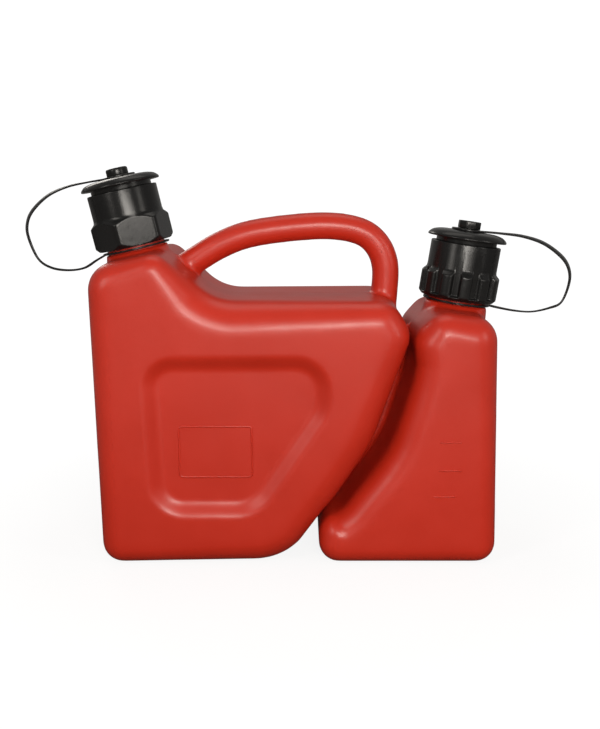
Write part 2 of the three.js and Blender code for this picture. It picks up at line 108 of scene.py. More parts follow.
# The studio
LAMP_WARMTH = (1.0, 0.95, 0.88)
LAMPS = (  # name, place, aim, width, height and power
    ("overhead", (0.0, 0.25, 1.3), (0, 0, 0.1), 0.9, 0.5, 2.0),
    ("left", (-0.9, -0.95, 0.7), (0, 0, 0.12), 0.3, 0.6, 4.0),
    ("right", (1.1, -0.7, 0.6), (0, 0, 0.12), 0.3, 0.6, 2.5),
    ("back", (-0.7, 1.2, 0.9), (0, 0, 0.1), 0.5, 0.4, 2.6),
    ("front", (0.18, -1.2, 0.5), (0, 0, 0.11), 0.7, 0.2, 8.0),
    ("fill", (0.04, -1.0, 0.40), (0.03, 0, 0.11), 0.26, 0.12, 2.2),
)
# Painted shade: the floor is dark close to the can and paler far off, seen only in reflections and
# bounced light
FLOOR_NEAR_SHADE = (0.10, 0.095, 0.09, 1)  # what the can mirrors of the floor, close by and far off
FLOOR_FAR = (0.45, 0.44, 0.43, 1)
FLOOR_GLOW = 1.06  # the floor as the camera sees it
ROOM_COLOUR = (1.0, 0.97, 0.93, 1)
ROOM_LIGHT = 0.24
ROOM_SHINE = 0.1  # added in reflections
BACKDROP = 1.05


def length(name, description, default, low=0.0, high=1.0):
    """A setting in metres."""
    return FloatProperty(
        name=name, description=description, default=default, min=low, max=high, unit="LENGTH"
    )


class CanBodySettings(bpy.types.PropertyGroup):
    """Sizes of the moulded body."""

    width: length("Width", "Both tanks, along the base", 0.305)
    depth: length("Depth", "Front face to back face", BODY_HIGH.y - BODY_LOW.y)
    tank_top: length("Tank top", "Height of the fuel tank's flat top", 0.202)
    shoulder_rise: length("Shoulder rise", "The fuel neck's shoulder above the flat top", 0.031)
    oil_drop: length("Oil drop", "The oil neck's seat below the flat top", 0.0105)
    divider_gap: length("Divider gap", "Widest part of the slot between the tanks", 0.007)
    slot_draft: length("Slot draft", "By which each side of the slot opens", 0.0032)
    corner: length("Corner", "Rounding of the outlines' corners", 0.016)
    web: length("Web", "Thickness of the web in the slot", 0.0032)
    edge_top: length("Top edge", "Rounding of the upper edges", 0.024)
    edge_side: length("Side edge", "Rounding of the side edges", 0.017)
    edge_base: length("Base edge", "Rounding of the lower edges", 0.014)
    panel_depth: length("Panel depth", "Depth of the sunk panel", 0.006)
    panel_slope: length("Panel slope", "Width of the panel's sloping rim", 0.014)
    mark_height: length("Mark height", "Relief of the frame and the level lines", 0.0004)
    grip_radius: length("Grip radius", "Radius of the loop handle's tube", 0.0106)
    grip_height: length("Grip height", "Highest point of the handle's centre line", 0.254)
    grain: length("Grain", "Size of the cells that fuse the body", 0.0017, 0.001, 0.01)
    red: FloatVectorProperty(
        name="Red", description="Colour of the body", default=(0.46, 0.018, 0.005),
        subtype="COLOR", min=0.0, max=1.0,
    )


class CanClosureSettings(bpy.types.PropertyGroup):
    """Sizes of the necks, caps, stoppers and straps, along a closure's axis from its collar."""

    neck_radius: length("Neck radius", "Outside of the neck", 0.0225)
    neck_wall: length("Neck wall", "Thickness of the neck's wall", 0.003)
    neck_height: length("Neck height", "Top of the neck above the collar's lower edge", 0.031)
    thread_pitch: length("Thread pitch", "Lift of a cap in one turn", 0.005)
    thread_depth: length("Thread depth", "Height of the thread", 0.0012)
    cap_bore: length("Cap bore", "Radius of a cap's bore", 0.0242)
    drum_radius: length("Drum radius", "Outside of a cap above its collar", 0.027)
    collar_radius: length("Collar radius", "Outside of the collar's ribs", 0.03075)
    cap_height: length("Cap height", "Top of the drum", 0.043)
    collar_height: length("Collar height", "Top of the collar", 0.022)
    disc_radius: length("Disc radius", "Rim of a stopper's disc", 0.0305)
    disc_base: length("Disc base", "Lower edge of the disc's lip", 0.0465)
    disc_top: length("Disc top", "Top of the disc", 0.0524)
    knob_radius: length("Knob radius", "Half the width of a knob", 0.0084)
    knob_height: length("Knob height", "Top of the knob above the disc", 0.0078)
    strap_width: length("Strap width", "Width of the flat band", 0.008)
    strap_thickness: length("Strap thickness", "Thickness of the flat band", 0.0014)
    strap_twist: FloatProperty(
        name="Strap twist", description="Twist of the band where its loop is widest",
        default=math.radians(24), subtype="ANGLE",
    )
    grips: IntProperty(
        name="Grips", description="Ribs round the oil cap's collar", default=12, min=6, max=24
    )
    black: FloatVectorProperty(
        name="Black", description="Colour of the caps and straps", default=(0.0045, 0.0045, 0.0046),
        subtype="COLOR", min=0.0, max=1.0,
    )


class CanStageSettings(bpy.types.PropertyGroup):
    """The camera and the light."""

    distance: length("Distance", "From the camera to the can's middle plane", 0.720, 0.1, 5.0)
    eye_height: length("Eye height", "Camera above the floor", 0.292, 0.0, 3.0)
    pitch: FloatProperty(
        name="Pitch", description="How far the camera looks down", default=math.radians(11.6),
        subtype="ANGLE",
    )
    lens: FloatProperty(
        name="Lens", description="Focal length", default=45.38, min=10.0, max=200.0, unit="CAMERA"
    )


# Shapes


def new_piece(name, bm, material, body):
    """Closes the bmesh into an object that rides on a body."""
    mesh = bpy.data.meshes.new(name)
    bmesh.ops.remove_doubles(bm, verts=bm.verts, dist=1e-6)
    bmesh.ops.recalc_face_normals(bm, faces=bm.faces)
    for face in bm.faces:
        face.smooth = True
    bm.to_mesh(mesh)
    bm.free()
    piece = bpy.data.objects.new(name, mesh)
    bpy.context.scene.collection.objects.link(piece)
    piece.data.materials.append(material)
    if body:
        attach(piece, body)
    return piece


def outline(corners, step=math.radians(6)):
    """A closed XZ outline from corners (x, z, corner radius, edge rounding, draft) with arcs for
    corners. Returns its points, their outward normals, edge roundings and drafts."""
    points, normals, roundings, drafts = [], [], [], []
    for i, (x, z, radius, rounding, *draft) in enumerate(corners):
        corner = Vector((x, z))
        before = (corner - Vector(corners[i - 1][:2])).normalized()
        after = (Vector(corners[(i + 1) % len(corners)][:2]) - corner).normalized()
        turn = math.atan2(before.x * after.y - before.y * after.x, before.dot(after))
        side = math.copysign(1.0, turn)
        inward = Vector((-before.y, before.x)) * side
        centre = corner - before * radius * math.tan(abs(turn) / 2) + inward * radius
        steps = max(3, round(abs(turn) / step))
        for k in range(steps + 1):
            spoke = Matrix.Rotation(turn * k / steps, 2) @ -inward
            points.append(centre + spoke * radius)
            normals.append(spoke * side)
            roundings.append(rounding)
            drafts.append(draft[0] if draft else 0.0)
    return points, normals, roundings, drafts


def ring(bm, points):
    """A closed loop of edges through the points."""
    made = bmesh.ops.create_circle(bm, cap_ends=False, radius=1.0, segments=len(points))
    for vert, point in zip(made["verts"], points):
        vert.co = point
    return list({edge for vert in made["verts"] for edge in vert.link_edges})


def pillow(bm, corners, depth, steps=8):
    """A tank with rounded edges: its outline at mid-depth, drawn in towards front and back, first
    by its draft and then by its rounding."""
    points, normals, roundings, drafts = outline(corners)
    rings = []
    for face in (1, -1):
        for k in range(steps + 1):
            angle = (steps - k if face > 0 else k) / steps * math.pi / 2
            loop = []
            for point, normal, radius, draft in zip(points, normals, roundings, drafts):
                at = point - normal * (draft + radius * (1 - math.cos(angle)))
                loop.append((at.x, face * (depth / 2 - radius * (1 - math.sin(angle))), at.y))
            rings.append(ring(bm, loop))
        if face > 0:
            rings.append(ring(bm, [(point.x, 0, point.y) for point in points]))
    for lower, upper in zip(rings, rings[1:]):
        bmesh.ops.bridge_loops(bm, edges=lower + upper)
    for end in (rings[0], rings[-1]):
        bmesh.ops.contextual_create(bm, geom=end)


def smooth_path(points, count):
    """Evenly spaced points on a smooth curve through the given ones."""
    knots = [Vector(p) for p in points]
    knots = [knots[0] * 2 - knots[1]] + knots + [knots[-1] * 2 - knots[-2]]
    fine = []
    for a, b, c, d in zip(knots, knots[1:], knots[2:], knots[3:]):
        for k in range(24):
            t = k / 24
            fine.append(
                (b * 2 + (c - a) * t + (a * 2 - b * 5 + c * 4 - d) * t * t
                 + (b * 3 - a - c * 3 + d) * t ** 3) * 0.5
            )
    fine.append(knots[-2])
    run = np.concatenate([[0], np.cumsum([(b - a).length for a, b in zip(fine, fine[1:])])])
    at = np.linspace(0, run[-1], count)
    table = np.array([tuple(p) for p in fine])
    return [Vector([np.interp(s, run, table[:, i]) for i in range(table.shape[1])]) for s in at]


def tube(bm, path, radius, sides=32):
    """A round tube in the XZ plane along the path, closed at both ends."""
    rings = []
    for i, centre in enumerate(path):
        along = (path[min(i + 1, len(path) - 1)] - path[max(i - 1, 0)]).normalized()
        out = Vector((-along.z, 0, along.x))
        rings.append(ring(bm, [
            centre + (out * math.cos(a) + Vector((0, 1, 0)) * math.sin(a)) * radius
            for a in (2 * math.pi * k / sides for k in range(sides))
        ]))
    for lower, upper in zip(rings, rings[1:]):
        bmesh.ops.bridge_loops(bm, edges=lower + upper)
    for end in (rings[0], rings[-1]):
        bmesh.ops.contextual_create(bm, geom=end)


def rounded_profile(points, radius):
    """Rounds the corners of a closed (radius, height) profile. A third number overrides the
    corner's radius."""
    out = []
    count = len(points)
    steps = 3
    for i, point in enumerate(points):
        here = Vector(point[:2])
        r = point[2] if len(point) > 2 else radius
        last, after = points[i - 1], points[(i + 1) % count]
        if r <= 0:
            out.append(here)
            continue
        a = Vector(last[:2]) - here
        b = Vector(after[:2]) - here
        r = min(r, a.length * 0.49, b.length * 0.49)
        start, end = here + a.normalized() * r, here + b.normalized() * r
        for k in range(steps + 1):
            t = k / steps
            out.append(start * (1 - t) ** 2 + here * 2 * t * (1 - t) + end * t * t)
    return out


def spun(bm, profile, segments):
    """Turns a closed (radius, height) profile about Z."""
    verts = [bm.verts.new((r, 0, z)) for r, z in profile]
    edges = [bm.edges.new(pair) for pair in zip(verts, verts[1:] + verts[:1])]
    bmesh.ops.spin(
        bm, geom=verts + edges, cent=(0, 0, 0), axis=(0, 0, 1), dvec=(0, 0, 0),
        angle=2 * math.pi, steps=segments, use_merge=True, use_duplicate=False,
    )
    bmesh.ops.remove_doubles(bm, verts=bm.verts, dist=1e-6)


def closure_matrix(kind):
    """From a closure's own axis, with the collar's lower edge at zero, to the can."""
    joint = JOINTS[kind + "_cap_turn"]
    axis = joint["axis"]
    angle = math.atan2(axis[0], axis[2])
    return Matrix.Translation(joint["pos_m"]) @ Matrix.Rotation(angle, 4, "Y")


# Shader maths


class Sock:
    """A shader socket that takes part in Python expressions."""

    def __init__(self, tree, socket):
        self.tree, self.socket = tree, socket

    def node(self, kind, settings=None, **inputs):
        """Adds a node, sets its settings first, then its inputs by name or index."""
        made = self.tree.nodes.new(kind)
        for key, value in (settings or {}).items():
            setattr(made, key, value)
        for key, value in inputs.items():
            target = made.inputs[int(key[1:])] if key[0] == "_" else made.inputs[key.replace("_", " ")]
            if isinstance(value, Sock):
                self.tree.links.new(value.socket, target)
            else:
                target.default_value = value
        return made

    def out(self, kind, settings=None, output=0, **inputs):
        """One output of a new node."""
        return Sock(self.tree, self.node(kind, settings, **inputs).outputs[output])

    def maths(self, operation, a, b=0.0, clamp=False):
        return self.out("ShaderNodeMath", {"operation": operation, "use_clamp": clamp}, _0=a, _1=b)

    def __add__(self, other):
        return self.maths("ADD", self, other)

    def __radd__(self, other):
        return self.maths("ADD", other, self)

    def __sub__(self, other):
        return self.maths("SUBTRACT", self, other)

    def __rsub__(self, other):
        return self.maths("SUBTRACT", other, self)

    def __mul__(self, other):
        return self.maths("MULTIPLY", self, other)

    def __rmul__(self, other):
        return self.maths("MULTIPLY", other, self)

    def __truediv__(self, other):
        return self.maths("DIVIDE", self, other)

    def __abs__(self):
        return self.maths("ABSOLUTE", self)

    def clamped(self):
        """This value, kept between 0 and 1."""
        return self.maths("ADD", self, 0.0, clamp=True)

    def noise(self, scale, detail=2.0, rough=0.5):
        """Noise at these coordinates."""
        return self.out(
            "ShaderNodeTexNoise", None, 0, Vector=self, Scale=scale, Detail=detail, Roughness=rough
        )

    def mix(self, a, b):
        """Colour a where this is 0, b where it is 1."""
        return self.out(
            "ShaderNodeMix", {"data_type": "RGBA"}, 2, _0=self, _6=a, _7=b
        )

    def bump(self, distance, below=None):
        """A Bump on this height, over another bump."""
        extra = {"Normal": below} if below else {}
        return self.out(
            "ShaderNodeBump", None, 0, Height=self, Strength=1.0, Distance=distance, **extra
        )


def material(name, build, colour, rough, **fixed):
    """A Principled material. build gets the object coordinates and returns the varying inputs."""
    made = bpy.data.materials.new(name)
    made.use_nodes = True
    made.diffuse_color = (*colour, 1.0)
    tree = made.node_tree
    shader = tree.nodes["Principled BSDF"]
    shader.inputs["Base Color"].default_value = (*colour, 1.0)
    shader.inputs["Roughness"].default_value = rough
    for key, value in fixed.items():
        shader.inputs[key.replace("_", " ")].default_value = value
    place = Sock(tree, tree.nodes.new("ShaderNodeTexCoord").outputs["Object"])
    for key, value in build(place).items():
        tree.links.new(value.socket, shader.inputs[key.replace("_", " ")])
    return made


def moulded_red(colour):
    """Satin polyethylene from a sand-blasted mould, with the seam of its two halves."""

    def build(place):
        parts = place.node("ShaderNodeSeparateXYZ", None, Vector=place)
        y = Sock(place.tree, parts.outputs[1])
        seam = (1.0 - abs(y) / 0.00045).clamped()
        flow = place.noise(9.0, 3.0, 0.55)
        cloud = place.noise(38.0, 2.0)
        speck = place.noise(900.0, 2.0, 0.6)
        pale = tuple(min(1.0, c * 1.18 + 0.006) for c in colour) + (1.0,)
        deep = tuple(c * 0.84 for c in colour) + (1.0,)
        tint = (flow * 0.6 + cloud * 0.25 + speck * 0.15)
        ripple = flow.bump(0.0011)
        swell = cloud.bump(0.00022, ripple)
        grain = speck.bump(0.000045, swell)
        return {
            "Base Color": tint.mix(deep, pale),
            "Roughness": 0.27 + cloud * 0.1 + speck * 0.08,
            "Normal": seam.bump(0.00018, grain),
        }

    return material("moulded_red", build, colour, 0.42, Specular_IOR_Level=0.45)


def moulded_black(colour, name="moulded_black", rough=0.3):
    """Injection-moulded black, satin gloss with faint handling marks."""

    def build(place):
        wipe = place.noise(60.0, 3.0, 0.6)
        speck = place.noise(1400.0, 2.0, 0.6)
        scuff = (place.noise(420.0, 4.0, 0.75) - 0.62).clamped() * 3.0
        dust = tuple(min(1.0, c * 2.0 + 0.004) for c in colour) + (1.0,)
        return {
            "Base Color": (wipe * 0.35 + scuff * 0.4).clamped().mix((*colour, 1.0), dust),
            "Roughness": rough - 0.12 + wipe * 0.14 + scuff * 0.2,
            "Normal": speck.bump(0.00003, wipe.bump(0.00012)),
        }

    return material(name, build, colour, rough, Specular_IOR_Level=0.27)


def sealing_rubber():
    """Matt black rubber."""

    def build(place):
        bloom = place.noise(150.0, 3.0, 0.6)
        return {
            "Base Color": bloom.mix((0.014, 0.014, 0.014, 1.0), (0.034, 0.033, 0.032, 1.0)),
            "Roughness": 0.7 + bloom * 0.2,
            "Normal": place.noise(1600.0).bump(0.00003),
        }

    return material("sealing_rubber", build, (0.02, 0.02, 0.02), 0.8)


def finish(name, maker, *args):
    """The named material, made once."""
    return bpy.data.materials.get(name) or maker(*args)


def red_finish():
    """The body's material."""
    return finish("moulded_red", moulded_red, tuple(bpy.context.scene.can_body.red))


def black_finish():
    """The material of the caps and stoppers."""
    return finish("moulded_black", moulded_black, tuple(bpy.context.scene.can_closures.black))


# The body


def oil_middle(s):
    """Where the body's middle lies along X: the oil neck stands a known share of the width away."""
    turn = JOINTS["oil_cap_turn"]
    return turn["pos_m"][0] - 0.0066 * turn["axis"][0] - 0.4013 * s.width


def body_corners(s):
    """Corners of the fuel tank, the oil tank, the web and the panel, as in the CAD part."""
    fuel_turn, oil_turn = (JOINTS[k + "_cap_turn"]["axis"] for k in ("fuel", "oil"))
    shift = oil_middle(s)
    corner, draft = s.corner, s.slot_draft

    def x(share):
        return share * s.width + shift

    def z(share):
        return share * s.tank_top

    def seat(share, height, axis):
        return lambda at: height - (at - x(share)) * axis[0] / axis[2]

    fuel_seat = seat(-0.4145, s.tank_top + s.shoulder_rise, fuel_turn)
    oil_seat = seat(0.4013, s.tank_top - s.oil_drop, oil_turn)
    fuel_side = [(x(0.0925), z(0.226)), (x(0.1965), z(0.466)), (x(0.273), z(0.881))]
    gap = s.divider_gap
    oil_side = [
        (fuel_side[0][0] + gap * 0.62, fuel_side[0][1] - gap * 0.62),
        (fuel_side[1][0] + gap, fuel_side[1][1] - gap * 0.45),
        (x(0.2715), z(0.718)),
        (x(0.279), z(0.872)),
    ]
    top, side, base = s.edge_top, s.edge_side, s.edge_base
    fuel = [
        (x(-0.4975), 0, corner, base),
        (x(-0.046), 0, 3 * corner, base * 1.4),
        (*fuel_side[0], 7.5 * corner, top * 0.92, draft),
        (*fuel_side[1], 7.5 * corner, top * 0.92, draft),
        (*fuel_side[2], 1.25 * corner, top * 0.75),
        (x(0.223), s.tank_top, 1.25 * corner, top * 0.75),
        (x(-0.207), s.tank_top, 2.5 * corner, top),
        (x(-0.341), fuel_seat(x(-0.341)), 0.9 * corner, side * 0.76),
        (x(-0.511), fuel_seat(x(-0.511)), 1.3 * corner, side),
    ]
    oil = [
        (x(0.0475), 0, 0.95 * corner, base),
        (x(0.494), 0, 0.95 * corner, base),
        (x(0.48), oil_seat(x(0.48)), 1.2 * corner, side * 1.1),
        (x(0.336), oil_seat(x(0.336)), 1.1 * corner, side),
        (*oil_side[3], 1.25 * corner, side * 1.15),
        (*oil_side[2], 6 * corner, side * 1.15, draft),
        (*oil_side[1], 6 * corner, side * 1.15, draft),
        (*oil_side[0], 2 * corner, side * 1.15, draft * 0.6),
        (x(0.0475), z(0.155), 1.1 * corner, side),
    ]
    web = [
        (fuel_side[0][0] - 0.016, z(0.163)),
        *[(px - 0.004, pz) for px, pz in fuel_side],
        *[(px + 0.004, pz) for px, pz in reversed(oil_side)],
        (x(0.0475) + 0.006, z(0.163)),
    ]
    panel = [
        (x(-0.374), z(0.188), 1.75 * corner, 0),
        (x(-0.098), z(0.188), 2.2 * corner, 0),
        (x(0.082), z(0.594), 2.5 * corner, 0),
        (x(0.0787), z(0.817), 1.75 * corner, 0),
        (x(-0.39), z(0.812), 1.55 * corner, 0),
    ]
    grip = [
        (x(-0.335), s.tank_top + 0.012),
        (x(-0.271), (s.grip_height + s.tank_top) / 2 - 0.001),
        (x(-0.195), s.grip_height - 0.0135),
        (x(-0.108), s.grip_height - 0.005),
        (x(0.0465), s.grip_height),
        (x(0.1416), s.grip_height - 0.003),
        (x(0.192), s.grip_height - 0.0125),
        (x(0.218), (s.grip_height + s.tank_top) / 2 - 0.004),
        (x(0.216), s.tank_top - 0.004),
        (x(0.21), s.tank_top - 0.026),
    ]
    return fuel, oil, web, panel, grip


def distance_inside(points, x, z):
    """How far inside a closed outline each (x, z) lies, negative outside."""
    a = np.array([tuple(p) for p in points])
    b = np.roll(a, -1, axis=0)
    best = np.full(len(x), np.inf)
    inside = np.zeros(len(x), bool)
    for (ax, az), (bx, bz) in zip(a, b):
        ex, ez = bx - ax, bz - az
        t = np.clip(((x - ax) * ex + (z - az) * ez) / max(ex * ex + ez * ez, 1e-18), 0, 1)
        best = np.minimum(best, np.hypot(x - ax - t * ex, z - az - t * ez))
        if az != bz:
            crosses = (az > z) != (bz > z)
            inside ^= crosses & (x < ex * (z - az) / ez + ax)
    return np.where(inside, best, -best)


class OBJECT_OT_can_body(bpy.types.Operator):
    """Model the blow-moulded body: both tanks, the web, the loop handle and the neck feet"""

    bl_idname = "object.can_body"
    bl_label = "Moulded body"

    def execute(self, context):
        s = context.scene.can_body
        c = context.scene.can_closures
        fuel, oil, web, panel, grip = body_corners(s)
        bm = bmesh.new()
        pillow(bm, fuel, s.depth)
        pillow(bm, oil, s.depth)
        plate = [ring(bm, [(x, y, z) for x, z in web]) for y in (s.web / 2, -s.web / 2)]
        bmesh.ops.bridge_loops(bm, edges=plate[0] + plate[1])
        for end in plate:
            bmesh.ops.contextual_create(bm, geom=end)
        tube(bm, smooth_path([(x, 0, z) for x, z in grip], 60), s.grip_radius)
        for kind in ("fuel", "oil"):
            bmesh.ops.create_cone(
                bm, cap_ends=True, segments=64, radius1=c.neck_radius + FOOT_STEP,
                radius2=c.neck_radius + FOOT_STEP_TOP, depth=FOOT_HEIGHT,
                matrix=closure_matrix(kind) @ Matrix.Translation((0, 0, FOOT_MIDDLE)),
            )
        bmesh.ops.recalc_face_normals(bm, faces=bm.faces)
        mesh = bpy.data.meshes.new("rough_body")
        bm.to_mesh(mesh)
        bm.free()
        rough = bpy.data.objects.new("rough_body", mesh)
        context.scene.collection.objects.link(rough)
        fuse = rough.modifiers.new("Fuse", "REMESH")
        fuse.mode = "VOXEL"
        fuse.voxel_size = s.grain
        fuse.use_smooth_shade = True
        soften = rough.modifiers.new("Soften", "SMOOTH")
        soften.factor = 0.5
        soften.iterations = 12
        graph = context.evaluated_depsgraph_get()
        fused = bpy.data.meshes.new_from_object(rough.evaluated_get(graph))
        bpy.data.objects.remove(rough)

        count = len(fused.vertices)
        co = np.empty(count * 3)
        fused.vertices.foreach_get("co", co)
        co = co.reshape(-1, 3)
        points = outline(panel)[0]
        near = np.abs(co[:, 1]) > s.depth / 2 - PANEL_REACH
        share = np.clip(distance_inside(points, co[near, 0], co[near, 2]) / s.panel_slope, 0, 1)
        press = s.panel_depth * share * share * (3 - 2 * share)
        co[near, 1] -= np.sign(co[near, 1]) * press
        co[:, 2] = np.maximum(co[:, 2], 0.0)
        fused.vertices.foreach_set("co", co.ravel())
        bm = bmesh.new()
        bm.from_mesh(fused)
        bpy.data.meshes.remove(fused)
        body = new_piece("moulded_body", bm, red_finish(), "canister")
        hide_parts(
            "canister_body", "oil_tank", "loop_handle", "fuel_neck", "oil_neck"
        )
        return {"FINISHED"}


class OBJECT_OT_can_necks(bpy.types.Operator):
    """Model the threaded necks that stand in the caps"""

    bl_idname = "object.can_necks"
    bl_label = "Necks and threads"

    def execute(self, context):
        c = context.scene.can_closures
        for kind in ("fuel", "oil"):
            bm = bmesh.new()
            bore = c.neck_radius - c.neck_wall
            spun(bm, rounded_profile([
                (c.neck_radius, -0.012),
                (c.neck_radius, c.neck_height),
                (bore, c.neck_height),
                (bore, -0.0015),
                (0.0, -0.0015, 0),
                (0.0, -0.012, 0),
            ], 0.0007), COARSE_TURN)
            turns, last = THREAD_TURNS, THREAD_STEPS
            coil = []
            for k in range(last + 1):
                a = 2 * math.pi * turns * k / last
                coil.append(Vector((
                    c.neck_radius * math.cos(a), c.neck_radius * math.sin(a),
                    c.neck_height - 0.003 - c.thread_pitch * turns * (1 - k / last),
                )))
            rings = []
            for i, centre in enumerate(coil):
                along = (coil[min(i + 1, last)] - coil[max(i - 1, 0)]).normalized()
                out = Vector((centre.x, centre.y, 0)).normalized()
                up = along.cross(out)
                size = c.thread_depth * min(1.0, 0.15 + min(i, last - i) / 8)
                rings.append(ring(bm, [
                    centre + (out * math.cos(a) + up * math.sin(a)) * size
                    for a in (2 * math.pi * n / 10 for n in range(10))
                ]))
            for lower, upper in zip(rings, rings[1:]):
                bmesh.ops.bridge_loops(bm, edges=lower + upper)
            for end in (rings[0], rings[-1]):
                bmesh.ops.contextual_create(bm, geom=end)
            bm.transform(closure_matrix(kind))
            neck = new_piece(kind + "_neck", bm, red_finish(), "canister")
        return {"FINISHED"}


def raised_shape(bm, corners, base_y, steps, hollow):
    """A low relief on a face at base_y. Each step is how far inside the outline and how high it
    stands. A hollow one is a frame, another is filled."""
    points, normals, _, _ = outline(corners, math.radians(30))
    face = math.copysign(1, base_y)
    loops = [
        [bm.verts.new((p.x - n.x * inset, base_y + face * height, p.y - n.y * inset))
         for p, n in zip(points, normals)]
        for inset, height in steps
    ]
    for lower, upper in zip(loops, loops[1:] + (loops[:1] if hollow else [])):
        for i in range(len(points)):
            bm.faces.new((lower[i - 1], lower[i], upper[i], upper[i - 1]))
    if not hollow:
        for loop in (loops[0], loops[-1]):
            bm.faces.new(loop)


def box_corners(left, right, low, high, radius):
    """The corners of an upright box, as outline takes them."""
    return [(left, low, radius, 0), (right, low, radius, 0), (right, high, radius, 0),
            (left, high, radius, 0)]


class OBJECT_OT_can_marks(bpy.types.Operator):
    """Raise the plain frame in the panel and the level lines on the oil tank"""

    bl_idname = "object.can_marks"
    bl_label = "Raised frame and level lines"

    def execute(self, context):
        s = context.scene.can_body
        bm = bmesh.new()
        floor = s.depth / 2 - s.panel_depth
        high = s.mark_height
        for face in (-1, 1):
            raised_shape(
                bm, box_corners(*FRAME_SIDES, FRAME_CORNER), face * floor,
                [(0, -MARK_SINK), (0, 0), (0.0006, high), (0.0011, high), (FRAME_RIM, 0),
                 (FRAME_RIM, -MARK_SINK)], True,
            )
        for height, left, right in LEVEL_LINES:
            raised_shape(
                bm, box_corners(left, right, height - LEVEL_HALF, height + LEVEL_HALF, LEVEL_HALF),
                -s.depth / 2, [(0, -MARK_SINK), (0, 0), (0.0004, high), (0.0006, high)], False,
            )
        marks = new_piece("raised_marks", bm, red_finish(), "canister")
        return {"FINISHED"}


# The closures


def smooth_least(a, b, soft):
    """The smaller of two sizes, with a rounded change-over."""
    h = np.clip(0.5 + 0.5 * (b - a) / soft, 0, 1)
    return b * (1 - h) + a * h - soft * h * (1 - h)


def collar_surface(c, kind, angle, height):
    """The collar's radius at an angle and a height."""
    if kind == "fuel":
        part = (angle - HEXAGON_TURN + math.pi / 6) % (math.pi / 3) - math.pi / 6
        shape = (c.drum_radius + 0.0003) / np.cos(part)
    else:
        pitch = 2 * math.pi / c.grips
        part = np.abs((angle + pitch / 2) % pitch - pitch / 2) / pitch
        rib = np.clip((RIB_SHARE - part) / FLANK_SHARE, 0, 1)
        rib = rib * rib * (3 - 2 * rib)
        crown = RIB_CROWN * (part / 0.3) ** 2
        shape = c.drum_radius - 0.0001 + (c.collar_radius - c.drum_radius - crown) * rib
        skirt = np.clip((SKIRT_TOP - height) / 0.0006, 0, 1)
        shape = np.maximum(shape, c.drum_radius + (c.collar_radius - 0.0004 - c.drum_radius) * skirt)
    lower = c.drum_radius + 0.0010 + height * LOWER_BEVEL
    upper = c.drum_radius + 0.0002 + (c.collar_height - height)
    limit = smooth_least(lower, upper, 0.0006)
    limit = smooth_least(limit, c.collar_radius, 0.0006)
    return smooth_least(shape, limit, 0.0005)


class OBJECT_OT_can_caps(bpy.types.Operator):
    """Model the two screw caps, one with a hexagonal collar and one with a ribbed collar"""

    bl_idname = "object.can_caps"
    bl_label = "Screw caps"

    def execute(self, context):
        c = context.scene.can_closures
        for kind in ("fuel", "oil"):
            bm = bmesh.new()
            collar = [(c.drum_radius, 0.0002 + h * (c.collar_height - 0.0004), 0)
                      for h in np.linspace(0, 1, 40)]
            profile = rounded_profile([
                (c.cap_bore, 0.0, 0.0003),
                (c.drum_radius + 0.0006, 0.0, 0.0003),
                *collar,
                (c.drum_radius, c.collar_height + 0.002, 0),
                (c.drum_radius, c.cap_height, 0.0009),
                (c.cap_bore, c.cap_height, 0.0006),
                (c.cap_bore, c.cap_height - 0.001),
                (LEDGE_LEAD, LEDGE_TOP),
                (LEDGE_HOLE, LEDGE_TOP),
                (LEDGE_HOLE, LEDGE_BASE),
                (c.cap_bore, LEDGE_BASE),
            ], 0.0005)
            spun(bm, profile, FINE_TURN)
            for vert in bm.verts:
                x, y, z = vert.co
                radius = math.hypot(x, y)
                if radius > c.drum_radius - 0.0001 and 0.0001 < z < c.collar_height:
                    at = float(collar_surface(c, kind, np.float64(math.atan2(y, x)), np.float64(z)))
                    at = max(at, c.drum_radius)
                    vert.co.x, vert.co.y = x * at / radius, y * at / radius
            bm.transform(closure_matrix(kind))
            cap = new_piece(kind + "_screw_cap", bm, black_finish(), kind + "_cap_body")
            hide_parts(kind + "_cap")
        return {"FINISHED"}


